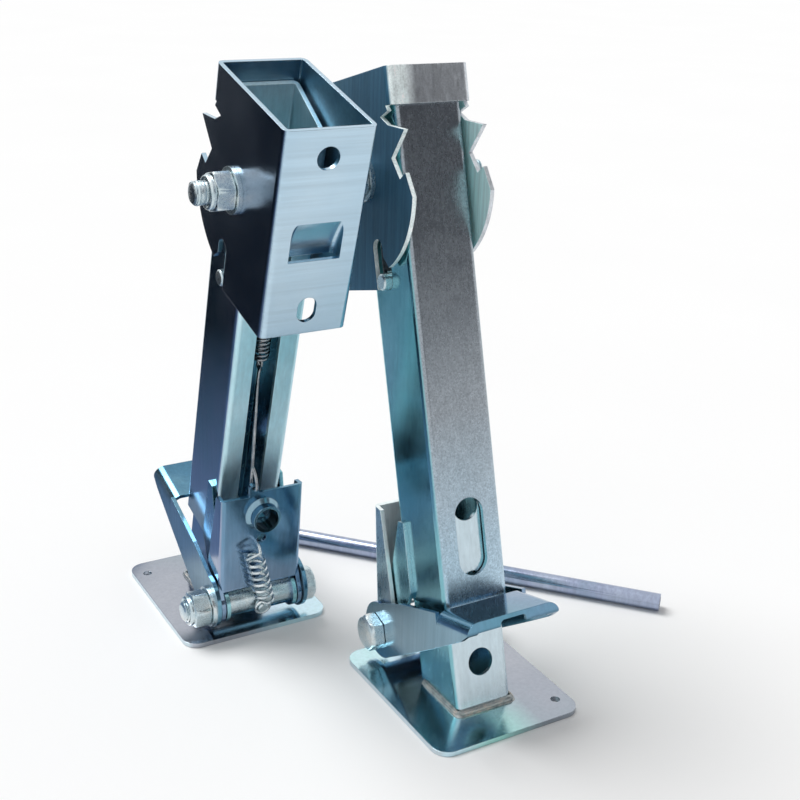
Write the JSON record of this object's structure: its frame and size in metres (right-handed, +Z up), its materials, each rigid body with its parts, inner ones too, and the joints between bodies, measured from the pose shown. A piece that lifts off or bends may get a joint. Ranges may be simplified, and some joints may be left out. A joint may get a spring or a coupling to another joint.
{
  "type": "rv stabilizer jack",
  "caption": "Pair of telescopic caravan stabilizer legs with toothed folding brackets, foot pedals, sprung lock plates and foot plates, and a loose lever bar",
  "frame": {"origin": "on the floor under the middle of the pair's bounding box", "axes": "+Z up; X along the pivots, across the legs; the right jack's closed face looks to -Y and the left jack's to +Y"},
  "size_m": [0.3532, 0.3274, 0.4177],
  "materials": {
    "zinc_sheet": "bright blue zinc plate, mirror-like",
    "bolt_zinc": "pale zinc plate, satin",
    "spring_wire": "drawn spring wire",
    "weld": "plated weld bead"
  },
  "bodies": {
    "left_bracket_body": {"left_bracket": "zinc_sheet", "left_pivot_bolt": "bolt_zinc", "left_pivot_nut": "bolt_zinc", "left_pivot_washers": "bolt_zinc", "left_pivot_sleeve": "bolt_zinc"},
    "left_leg_body": {"left_outer_leg": "zinc_sheet", "left_spring_rods": "bolt_zinc", "left_leg_cheeks": "zinc_sheet", "left_axle_bolt": "bolt_zinc", "left_axle_nut": "bolt_zinc", "left_axle_washer": "bolt_zinc", "left_pin_guide": "zinc_sheet"},
    "left_latch_body": {"left_latch_bar": "bolt_zinc", "left_latch_spring": "spring_wire"},
    "left_lock_body": {"left_lock_plate": "zinc_sheet", "left_bar_socket": "zinc_sheet", "left_lock_spring": "spring_wire", "left_link_wire": "spring_wire"},
    "left_pin_body": {"left_lock_pin": "bolt_zinc"},
    "left_pedal_body": {"left_pedal": "zinc_sheet", "left_pedal_tube": "zinc_sheet", "left_pedal_spring": "spring_wire"},
    "left_foot_body": {"left_inner_leg": "zinc_sheet", "left_foot_plate": "zinc_sheet", "left_foot_weld": "weld"},
    "right_bracket_body": {"right_bracket": "zinc_sheet", "right_pivot_bolt": "bolt_zinc", "right_pivot_nut": "bolt_zinc", "right_pivot_washers": "bolt_zinc", "right_pivot_sleeve": "bolt_zinc"},
    "right_leg_body": {"right_outer_leg": "zinc_sheet", "right_spring_rods": "bolt_zinc", "right_leg_cheeks": "zinc_sheet", "right_axle_bolt": "bolt_zinc", "right_axle_nut": "bolt_zinc", "right_axle_washer": "bolt_zinc", "right_pin_guide": "zinc_sheet"},
    "right_latch_body": {"right_latch_bar": "bolt_zinc", "right_latch_spring": "spring_wire"},
    "right_lock_body": {"right_lock_plate": "zinc_sheet", "right_bar_socket": "zinc_sheet", "right_lock_spring": "spring_wire", "right_link_wire": "spring_wire"},
    "right_pin_body": {"right_lock_pin": "bolt_zinc"},
    "right_pedal_body": {"right_pedal": "zinc_sheet", "right_pedal_tube": "zinc_sheet", "right_pedal_spring": "spring_wire"},
    "right_foot_body": {"right_inner_leg": "zinc_sheet", "right_foot_plate": "zinc_sheet", "right_foot_weld": "weld"},
    "lever_bar_body": {"lever_bar": "bolt_zinc"}
  },
  "joints": [
    {"name": "left_leg_swing", "type": "hinge", "parent": "left_bracket_body", "child": "left_leg_body", "pos_m": [-0.11791, -0.0002, 0.34203], "axis": [1, 0, 0], "range_deg": [0, 90]},
    {"name": "left_latch_slide", "type": "slide", "parent": "left_leg_body", "child": "left_latch_body", "axis": [0, -0.2689, 0.9632], "range_m": [0, 0.022], "deforming": ["left_latch_spring"]},
    {"name": "left_lock_swing", "type": "hinge", "parent": "left_leg_body", "child": "left_lock_body", "pos_m": [-0.11791, 0.04281, 0.02512], "axis": [-1, 0, 0], "range_deg": [0, 5.5], "deforming": ["left_lock_spring", "left_link_wire"]},
    {"name": "left_pin_slide", "type": "slide", "parent": "left_leg_body", "child": "left_pin_body", "axis": [0, 0.9632, 0.2689], "range_m": [0, 0.00451]},
    {"name": "left_pedal_swing", "type": "hinge", "parent": "left_lock_body", "child": "left_pedal_body", "pos_m": [-0.11791, 0.04281, 0.02512], "axis": [-1, 0, 0], "range_deg": [0, 18], "stiffness_Nm_per_rad": 1.5, "springref_deg": -20.05, "deforming": ["left_pedal_spring"]},
    {"name": "left_foot_slide", "type": "slide", "parent": "left_leg_body", "child": "left_foot_body", "axis": [0, 0.2689, -0.9632], "range_m": [0, 0.162]},
    {"name": "right_leg_swing", "type": "hinge", "parent": "right_bracket_body", "child": "right_leg_body", "pos_m": [-0.02521, 0.0002, 0.34203], "axis": [-1, 0, 0], "range_deg": [0, 90]},
    {"name": "right_latch_slide", "type": "slide", "parent": "right_leg_body", "child": "right_latch_body", "axis": [0, 0.2689, 0.9632], "range_m": [0, 0.022], "deforming": ["right_latch_spring"]},
    {"name": "right_lock_swing", "type": "hinge", "parent": "right_leg_body", "child": "right_lock_body", "pos_m": [-0.02521, -0.04281, 0.02512], "axis": [1, 0, 0], "range_deg": [0, 5.5], "deforming": ["right_lock_spring", "right_link_wire"]},
    {"name": "right_pin_slide", "type": "slide", "parent": "right_leg_body", "child": "right_pin_body", "axis": [0, -0.9632, 0.2689], "range_m": [0, 0.00451]},
    {"name": "right_pedal_swing", "type": "hinge", "parent": "right_lock_body", "child": "right_pedal_body", "pos_m": [-0.02521, -0.04281, 0.02512], "axis": [1, 0, 0], "range_deg": [0, 18], "stiffness_Nm_per_rad": 1.5, "springref_deg": -20.05, "deforming": ["right_pedal_spring"]},
    {"name": "right_foot_slide", "type": "slide", "parent": "right_leg_body", "child": "right_foot_body", "axis": [0, -0.2689, -0.9632], "range_m": [0, 0.162]},
    {"name": "right_jack_lift", "type": "slide", "parent": "left_bracket_body", "child": "right_bracket_body", "axis": [0, 0, 1], "range_m": [0, 0.1]},
    {"name": "lever_bar_lift", "type": "slide", "parent": "left_bracket_body", "child": "lever_bar_body", "axis": [0, 0, 1], "range_m": [0, 0.2]}
  ],
  "couplings": [
    {"joint": "left_pin_slide", "follows": "left_lock_swing", "m_per_rad": 0.046878},
    {"joint": "right_pin_slide", "follows": "right_lock_swing", "m_per_rad": 0.046878}
  ]
}
